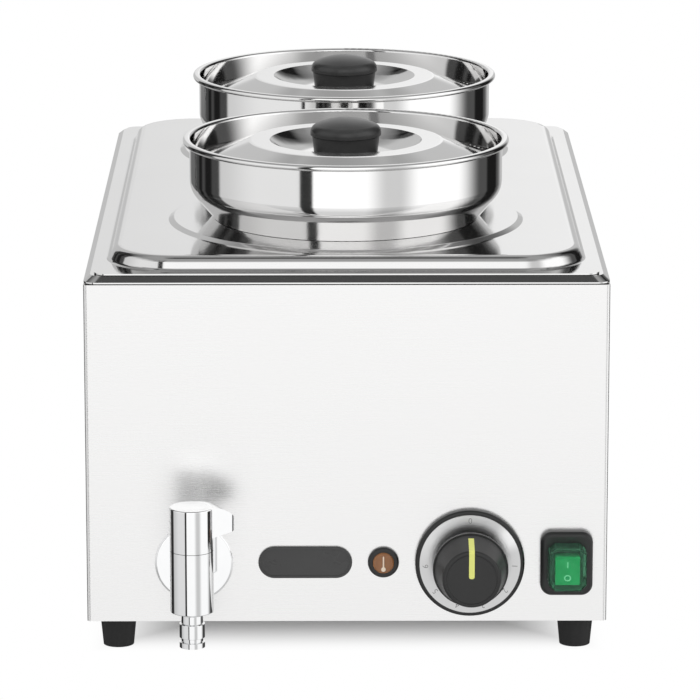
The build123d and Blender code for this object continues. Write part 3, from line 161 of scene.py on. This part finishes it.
strength = (
    to_camera + in_mirror * tent * (1 - to_camera) + through_clear
    + (1 - to_camera) * (1 - in_mirror) * (1 - through_clear) * day_level
)
strength.feeds(backdrop, "Strength")
backdrop.inputs["Color"].default_value = white
lamp_aim = Vector((0, 0, 0.15))


def softbox(name, place, width, power):
    # a square lamp that looks at the housing and stays out of reflections
    data = bpy.data.lights.new(name, "AREA")
    data.shape = "SQUARE"
    data.size = width
    data.energy = power
    lamp = bpy.data.objects.new(name, data)
    lamp.location = place
    lamp.visible_glossy = False
    lamp.rotation_euler = (lamp_aim - Vector(place)).to_track_quat("-Z", "Y").to_euler()
    bpy.context.scene.collection.objects.link(lamp)


softbox("left_tent", (-1.6, -1.9, 1.5), width=1.4, power=16)
softbox("right_tent", (1.6, -1.9, 1.5), width=1.4, power=16)
softbox("overhead_tent", (0, 0.3, 2.2), width=2.0, power=31)


# The counter is a plain pale sweep. It fades to pure white round the housing and
# keeps the soft shadow under it.
def finish_of(name, fixed):
    # a new material with these sockets set; the others are fed afterwards
    material = bpy.data.materials.new(name)
    material.use_nodes = True
    shader = material.node_tree.nodes["Principled BSDF"]
    for socket, value in fixed.items():
        shader.inputs[socket].default_value = value
    return material, shader, Shade(material.node_tree)


def grey(level, warm=0.0):
    return (level, level * (1 - warm / 2), level * (1 - warm), 1)


counter_half_width = 12
# how far outside the base's outline the fade to white begins and ends, in metres
fade_start, fade_end = -0.075, 0.006
counter_mesh = bpy.data.meshes.new("counter")
sweep = bmesh.new()
bmesh.ops.create_grid(sweep, x_segments=1, y_segments=1, size=counter_half_width)
sweep.to_mesh(counter_mesh)
sweep.free()
counter = bpy.data.objects.new("counter", counter_mesh)
bpy.context.scene.collection.objects.link(counter)
counter.visible_glossy = False
counter_paint, paint_shader, paint_start = finish_of(
    "counter_white", {"Base Color": grey(0.9), "Roughness": 0.7, "Specular IOR Level": 0.1})
counter_mesh.materials.append(counter_paint)
base_low, base_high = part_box("base_plate")
base_middle = (base_low + base_high) / 2
base_half = (base_high - base_low) / 2
on_counter = paint_start.node("ShaderNodeTexCoord", out="Object")
outside = paint_start.maths(
    "MAXIMUM",
    paint_start.maths("ABSOLUTE", on_counter.axis("X") - base_middle.x) - base_half.x,
    paint_start.maths("ABSOLUTE", on_counter.axis("Y") - base_middle.y) - base_half.y,
)
seen = paint_start.node("ShaderNodeLightPath", out="Is Camera Ray")
away = outside.fade(fade_start, fade_end, 0.0, 1.0) * seen
painted = Shade(counter_paint.node_tree, paint_shader.outputs[0])
glow = paint_start.node("ShaderNodeEmission", {"Color": white, "Strength": 1.0})
paint_start.node("ShaderNodeMixShader", {0: away, 1: painted, 2: glow}).feeds(
    counter_paint.node_tree.nodes["Material Output"], "Surface")


# The housing panels are folded stainless sheet. The grain runs level round all
# four sides, and hands and cloths have left faint clouds on it. The sides and the
# rear are a duller grade than the front.
def dress(material, *names):
    # a carried-over solid wears the material on every slot
    for name in names:
        mesh = frame["nodes"][name].data
        mesh.materials.clear()
        mesh.materials.append(material)


def place_of(shade, stretch=(1, 1, 1), centre=(0, 0, 0)):
    # object coordinates, moved to a centre and stretched
    spot = shade.node("ShaderNodeTexCoord", out="Object")
    moved = shade.node("ShaderNodeVectorMath", {0: spot, 1: centre}, operation="SUBTRACT")
    return shade.node("ShaderNodeVectorMath", {0: moved, 1: stretch}, operation="MULTIPLY")


def noise_at(shade, place, detail, roughness=0.5):
    return shade.node("ShaderNodeTexNoise", {"Vector": place, "Scale": 1.0, "Detail": detail,
                                             "Roughness": roughness})


def noise(shade, stretch, detail, roughness=0.5):
    # the stretch is about the number of marks in a metre along X, Y and Z
    return noise_at(shade, place_of(shade, stretch), detail, roughness)


def relief(shade, shader, marks, strength, depth=0.0002):
    shade.node("ShaderNodeBump", {"Height": marks, "Strength": strength, "Distance": depth},
               out="Normal").feeds(shader, "Normal")


def brushed_sheet(name, stretch, tone, base_roughness, metallic=1.0):
    material, shader, start = finish_of(name, {"Metallic": metallic})
    grain = noise(start, stretch, detail=4.0, roughness=0.6)
    clouds = noise(start, (9, 9, 12), detail=3.0)
    fine = noise(start, tuple(4 * s for s in stretch), detail=2.0)
    start.tint(grain * 0.6 + clouds * 0.4, grey(tone * 0.93, 0.01), grey(tone, 0.005)).feeds(
        shader, "Base Color")
    (base_roughness + grain * 0.05 + clouds * 0.04).feeds(shader, "Roughness")
    relief(start, shader, grain * 0.4 + fine * 0.6, strength=0.03)
    return material


level_grain = (8, 8, 1500)
cross_grain = (5, 900, 5)
dress(brushed_sheet("panel_sheet", level_grain, tone=0.93, base_roughness=0.23), "front_panel")
dress(brushed_sheet("side_sheet", level_grain, tone=0.93, base_roughness=0.26, metallic=0.80),
      "left_side_panel", "right_side_panel", "rear_panel")
dress(brushed_sheet("tray_sheet", cross_grain, tone=0.78, base_roughness=0.30), "base_plate")

# The feet are moulded rubber, matt and slightly dusty, each held by a screw up
# its middle. The tap's washer is cut from the same rubber.
rubber, rubber_shader, rubber_start = finish_of("foot_rubber", {"Metallic": 0.0, "Specular IOR Level": 0.35})
speckle = noise(rubber_start, (900, 900, 900), detail=2.0)
rubber_start.tint(speckle, grey(0.010), grey(0.022)).feeds(rubber_shader, "Base Color")
(0.48 + speckle * 0.2).feeds(rubber_shader, "Roughness")
relief(rubber_start, rubber_shader, speckle, strength=0.15)
dress(rubber, "feet", "tap_washer")

# Screws, clamps, nuts and the knob's shaft are zinc plated steel. The plating is
# dull, with small cloudy patches.
zinc, zinc_shader, zinc_start = finish_of("zinc_plating", {"Metallic": 1.0})
patches = noise(zinc_start, (260, 260, 260), detail=4.0)
zinc_start.tint(patches, grey(0.52, 0.02), grey(0.68, 0.04)).feeds(zinc_shader, "Base Color")
(0.28 + patches * 0.2).feeds(zinc_shader, "Roughness")
dress(zinc, "rear_panel_screws", "foot_screws", "front_lid_screw", "rear_lid_screw", "element_clamps",
      "bulb_clip", "earth_stud", "knob_shaft", "gland_nut", "lamp_nut")


# The top frame and the adapter plate are pressed stainless sheet with a bright
# polish, and long rubbing marks run front to back. The well is left satin.
def polished_sheet(name, stretch, tone, base_roughness):
    material, shader, start = finish_of(name, {"Metallic": 1.0})
    rub = noise(start, stretch, detail=5.0)
    clouds = noise(start, (14, 14, 14), detail=3.0)
    start.tint(clouds, grey(tone * 0.95, 0.01), grey(tone, 0.005)).feeds(shader, "Base Color")
    (base_roughness + rub * 0.05 + clouds * 0.03).feeds(shader, "Roughness")
    relief(start, shader, rub, strength=0.04)
    return material


front_to_back = (300, 6, 300)
level_satin = (80, 80, 300)
dress(polished_sheet("deck_polish", front_to_back, tone=0.84, base_roughness=0.05),
      "top_frame", "adapter_plate")
dress(polished_sheet("well_polish", level_satin, tone=0.80, base_roughness=0.24), "tank")

# The pots and lids are spun stainless, polished to a mirror. Faint rings from
# the lathe stay in the metal, each round its own pot's middle.
rings_per_metre = 1500
pot_middles = [sum(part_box(name), Vector()).y / 2 for name in ("front_pot", "rear_pot")]


def spun_mirror(name, tone, base_roughness):
    material, shader, start = finish_of(name, {"Metallic": 1.0})
    spot = start.node("ShaderNodeTexCoord", out="Object")
    across, along, up = (spot.axis(letter) for letter in "XYZ")
    front_middle, rear_middle = pot_middles
    in_front = along < (front_middle + rear_middle) / 2
    from_pot = along - (in_front * front_middle + (1 - in_front) * rear_middle)
    radius = start.maths("SQRT", across * across + from_pot * from_pot)
    ring_place = start.node(
        "ShaderNodeCombineXYZ", {"X": radius * rings_per_metre, "Y": up * rings_per_metre, "Z": 0.0})
    rings = noise_at(start, ring_place, detail=3.0)
    clouds = noise(start, (25, 25, 25), detail=3.0)
    start.tint(clouds, grey(tone * 0.96, 0.01), grey(tone, 0.005)).feeds(shader, "Base Color")
    (base_roughness + rings * 0.04 + clouds * 0.03).feeds(shader, "Roughness")
    relief(start, shader, rings, strength=0.02, depth=0.0001)
    return material


dress(spun_mirror("pot_mirror", tone=0.92, base_roughness=0.03),
      "front_pot", "rear_pot", "front_pot_drum", "rear_pot_drum")
dress(spun_mirror("lid_mirror", tone=0.92, base_roughness=0.05), "front_lid", "rear_lid")

# The lid knobs are heat-proof moulded plastic, glossy black and a little
# scuffed. Each is held by a screw from below the lid.
knob_gloss, knob_shader, knob_start = finish_of("knob_gloss", {"Metallic": 0.0, "Specular IOR Level": 0.5})
scuffs = noise(knob_start, (120, 120, 120), detail=5.0)
knob_start.tint(scuffs, grey(0.022), grey(0.038)).feeds(knob_shader, "Base Color")
(0.24 + scuffs * 0.14).feeds(knob_shader, "Roughness")
dress(knob_gloss, "front_lid_knob", "rear_lid_knob")

# The tap is turned brass, polished and chromed. Its escutcheon, chromed too,
# covers the hole in the panel.
chrome, chrome_shader, chrome_start = finish_of("tap_chrome", {"Metallic": 1.0})
haze = noise(chrome_start, (90, 90, 90), detail=3.0)
chrome_start.tint(haze, (0.91, 0.915, 0.92, 1), (0.95, 0.953, 0.957, 1)).feeds(chrome_shader, "Base Color")
(0.02 + haze * 0.05).feeds(chrome_shader, "Roughness")
dress(chrome, "tap_body", "tap_handle", "tap_nozzle", "tap_escutcheon")

# Inside the housing the drain is plain turned brass, and the capillary drawn
# copper alloy, both browned by heat.
brass, brass_shader, brass_start = finish_of("plain_brass", {"Metallic": 1.0})
tarnish = noise(brass_start, (150, 150, 150), detail=4.0)
brass_start.tint(tarnish, (0.55, 0.36, 0.14, 1), (0.80, 0.60, 0.30, 1)).feeds(brass_shader, "Base Color")
(0.22 + tarnish * 0.22).feeds(brass_shader, "Roughness")
dress(brass, "tap_plug", "tap_backnut", "drain_boss", "drain_pipe", "drain_coupling", "capillary")

# The heating element is a bent steel sheath clamped under the well. It and the
# thermostat's bulb are darkened by use.
sheath, sheath_shader, sheath_start = finish_of("heated_sheath", {"Metallic": 1.0})
scale = noise(sheath_start, (60, 60, 60), detail=5.0)
sheath_start.tint(scale, (0.14, 0.12, 0.11, 1), (0.34, 0.30, 0.27, 1)).feeds(sheath_shader, "Base Color")
(0.35 + scale * 0.25).feeds(sheath_shader, "Roughness")
dress(sheath, "heating_element", "thermostat_bulb")


# The dial ring, thermostat knob, lamp bezel, switch frame and the bodies behind
# the panel are moulded black plastic with a fine spark-eroded texture.
def moulded(name, low, high, roughness, texture_strength=0.08):
    material, shader, start = finish_of(name, {"Metallic": 0.0, "Specular IOR Level": 0.45})
    texture = noise(start, (1500, 1500, 1500), detail=2.0)
    wear = noise(start, (45, 45, 45), detail=4.0)
    start.tint(wear, low, high).feeds(shader, "Base Color")
    (roughness + wear * 0.12).feeds(shader, "Roughness")
    relief(start, shader, texture, texture_strength, depth=0.0001)
    return material


dress(moulded("control_black", grey(0.012), grey(0.020), roughness=0.30),
      "thermostat_knob", "dial_ring", "lamp_bezel", "switch_frame")
dress(moulded("inner_black", grey(0.020), grey(0.032), roughness=0.45),
      "thermostat_body", "switch_body", "lamp_body", "terminal_block", "thermal_cutout", "cable_gland")

# The leads inside are silicone sleeved: brown supply, red heater leads, and a
# green and yellow earth.
dress(moulded("brown_sleeve", (0.10, 0.045, 0.02, 1), (0.14, 0.06, 0.03, 1), roughness=0.45), "supply_leads")
dress(moulded("red_sleeve", (0.30, 0.03, 0.02, 1), (0.38, 0.05, 0.03, 1), roughness=0.45), "heater_leads")
dress(moulded("earth_sleeve", (0.06, 0.30, 0.05, 1), (0.60, 0.55, 0.05, 1), roughness=0.45), "earth_lead")

# The dial face is a thin aluminium disc with fine spun grooves. The bright rays running out
# from its middle are painted highlights in its colour. It lies on the black ring, and its numbers are
# printed on it.
grooves_per_metre = 2600
dial_low, dial_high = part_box("dial_face")
dial_centre = (dial_low + dial_high) / 2
spun, spun_shader, spun_start = finish_of("dial_spun_painted_rays", {"Metallic": 1.0})
from_middle = place_of(spun_start, centre=tuple(dial_centre))
radius = spun_start.node("ShaderNodeVectorMath", {0: from_middle}, out="Value", operation="LENGTH")
groove_place = spun_start.node("ShaderNodeCombineXYZ", {"X": radius * grooves_per_metre, "Y": 0.0, "Z": 0.0})
grooves = noise_at(spun_start, groove_place, detail=3.0)
clock_bearing = spun_start.maths("ARCTAN2", from_middle.axis("X"), from_middle.axis("Z")) * (180 / pi)
# painted highlights: bright wedges at fixed angles round the middle, in place of the light a spun finish
# catches
painted_highlight_rays = clock_bearing.band(42, 68, soft=9) * 0.75 + clock_bearing.band(-75, -15, soft=20) * 0.35
spun_start.tint(grooves * 0.15 + painted_highlight_rays + 0.1, grey(0.58), grey(0.97)).feeds(spun_shader, "Base Color")
(0.24 + grooves * 0.1).feeds(spun_shader, "Roughness")
relief(spun_start, spun_shader, grooves, strength=0.35)
dress(spun, "dial_face")
print_thickness = 0.00012


def solid(name, form, material, body):
    # a finished mesh becomes a piece that rides on its body
    mesh = bpy.data.meshes.new(name)
    form.to_mesh(mesh)
    form.free()
    mesh.materials.append(material)
    piece = bpy.data.objects.new(name, mesh)
    bpy.context.scene.collection.objects.link(piece)
    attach(piece, body)


def turn_form(form, angle, axis, centre=(0, 0, 0)):
    bmesh.ops.rotate(form, verts=form.verts, cent=centre, matrix=Matrix.Rotation(angle, 3, axis))


def move_form(form, way):
    bmesh.ops.translate(form, verts=form.verts, vec=way)


def figure(text, height, thickening):
    # one printed figure, flat on the XZ plane and centred, its face towards -Y
    capital_share = 0.7
    curve = bpy.data.curves.new("figure", "FONT")
    curve.body = text
    curve.size = height / capital_share
    curve.align_x = "CENTER"
    curve.align_y = "CENTER"
    curve.offset = thickening
    curve.extrude = print_thickness / 2
    curve.resolution_u = 6
    holder = bpy.data.objects.new("figure", curve)
    bpy.context.scene.collection.objects.link(holder)
    bpy.context.view_layer.update()
    mesh = bpy.data.meshes.new_from_object(holder)
    form = bmesh.new()
    form.from_mesh(mesh)
    bpy.data.objects.remove(holder)
    bpy.data.meshes.remove(mesh)
    low = Vector((min(v.co.x for v in form.verts), min(v.co.y for v in form.verts), 0))
    high = Vector((max(v.co.x for v in form.verts), max(v.co.y for v in form.verts), 0))
    move_form(form, -(low + high) / 2)
    turn_form(form, pi / 2, "X")
    return form


numeral_radius = 0.029
numeral_height = 0.0038
numeral_thickening = -0.00012
numeral_angles = (0, 92.7, 127.9, 162.8, 196.3, 230.7, 267.1)
ink = moulded("printed_black", grey(0.05), grey(0.08), roughness=0.5, texture_strength=0.02)
for number, clock_angle in enumerate(numeral_angles):
    form = figure(str(number), numeral_height, numeral_thickening)
    swing = radians(clock_angle)
    turn_form(form, swing, "Y")
    move_form(form, (dial_centre.x + numeral_radius * sin(swing), dial_low.y - print_thickness / 2,
                     dial_centre.z + numeral_radius * cos(swing)))
    solid(f"dial_number_{number}", form, ink, "housing")

# The pointer is a lime plastic strip let into the knob, from its side to the
# middle of its front.
dress(moulded("pointer_lime", (0.66, 0.68, 0.16, 1), (0.74, 0.76, 0.22, 1),
              roughness=0.30, texture_strength=0.03), "knob_pointer")

# The lamp has a ribbed amber lens with a rounded edge, held in its black bezel,
# and a thermometer printed on it in pale ink. The shade and highlight on its ribs are painted into its
# colour.
rib_frequency = 420.0
lens_low, lens_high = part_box("lamp_lens")
lens_centre = (lens_low + lens_high) / 2
amber, amber_shader, amber_start = finish_of("lens_amber", {
    "Metallic": 0.0, "Roughness": 0.14, "Transmission Weight": 0.1, "IOR": 1.45, "Coat Weight": 0.2,
    "Coat Roughness": 0.05})
rib_place = place_of(amber_start, centre=tuple(lens_centre))
rib_relief_and_shade = amber_start.node("ShaderNodeTexWave", {"Vector": rib_place, "Scale": rib_frequency}, out="Fac",
                       bands_direction="X")
# painted shade and highlight: each rib runs from dark to light amber; the same bands also give the ribs
# their bump
amber_start.tint(rib_relief_and_shade, (0.10, 0.038, 0.014, 1), (0.44, 0.19, 0.07, 1)).feeds(amber_shader, "Base Color")
relief(amber_start, amber_shader, rib_relief_and_shade, strength=0.25)
dress(amber, "lamp_lens")


def upright_pill(width, height, thickness):
    # a flat pill standing on the XZ plane, its face towards -Y, centred
    form = bmesh.new()
    back = bmesh.ops.create_circle(form, segments=32, radius=width / 2)["verts"]
    upper = [v for v in back if v.co.y > 0]
    bmesh.ops.translate(form, verts=upper, vec=(0, height - width, 0))
    move_form(form, (0, (width - height) / 2, 0))
    front = [form.verts.new(v.co + Vector((0, 0, thickness))) for v in back]
    form.faces.new(front)
    form.faces.new(back[::-1])
    for step in range(len(back)):
        form.faces.new((back[step - 1], back[step], front[step], front[step - 1]))
    turn_form(form, pi / 2, "X")
    return form


pale_ink = moulded("pale_ink", (0.70, 0.57, 0.44, 1), (0.82, 0.70, 0.57, 1),
                   roughness=0.5, texture_strength=0.02)
stem_width, stem_height = 0.0009, 0.0086
drop_width, drop_height = 0.0030, 0.00306
thermometer_rise = 0.0004
thermometer_z = lens_centre.z + thermometer_rise
stem = upright_pill(stem_width, stem_height, print_thickness)
move_form(stem, (lens_centre.x, lens_low.y, thermometer_z))
solid("lamp_thermometer_stem", stem, pale_ink, "housing")
drop = upright_pill(drop_width, drop_height, print_thickness)
move_form(drop, (lens_centre.x, lens_low.y - print_thickness / 4, thermometer_z - stem_height / 2))
solid("lamp_thermometer_bulb", drop, pale_ink, "housing")

# The switch is a moulded green rocker with pale marks, under a soft clear cover,
# tinted green, that keeps water out.
dress(moulded("rocker_green", (0.006, 0.34, 0.14, 1), (0.010, 0.41, 0.17, 1),
              roughness=0.22, texture_strength=0.02), "switch_rocker")
switch_pivot = Vector(next(j["pos_m"] for j in frame["joints"] if j["name"] == "switch_rock"))
rocker_rest_tilt = radians(8)
rocker_face_reach = 0.0116
mark_height, mark_thickening, mark_from_middle = 0.0042, 0.00010, 0.0046
mark_pale = moulded("mark_pale", (0.88, 0.92, 0.88, 1), (0.95, 0.97, 0.95, 1),
                    roughness=0.4, texture_strength=0.02)
for mark, side in (("I", 1), ("O", -1)):
    form = figure(mark, mark_height, mark_thickening)
    on_face = Vector((0, -rocker_face_reach - print_thickness / 4, side * mark_from_middle))
    move_form(form, switch_pivot + on_face)
    turn_form(form, rocker_rest_tilt, "X", switch_pivot)
    solid(f"switch_mark_{mark}", form, mark_pale, "rocker")
cover_clear = finish_of("cover_clear", {
    "Metallic": 0.0, "Base Color": (0.42, 0.78, 0.58, 1), "Transmission Weight": 0.96, "IOR": 1.12,
    "Roughness": 0.06})[0]
dress(cover_clear, "switch_boot")

# The badge is a dark grey moulded plate with a raised rim, held by two pins
# through the panel. It is left blank.
dress(moulded("badge_grey", grey(0.035), grey(0.050), roughness=0.22, texture_strength=0.02), "badge")
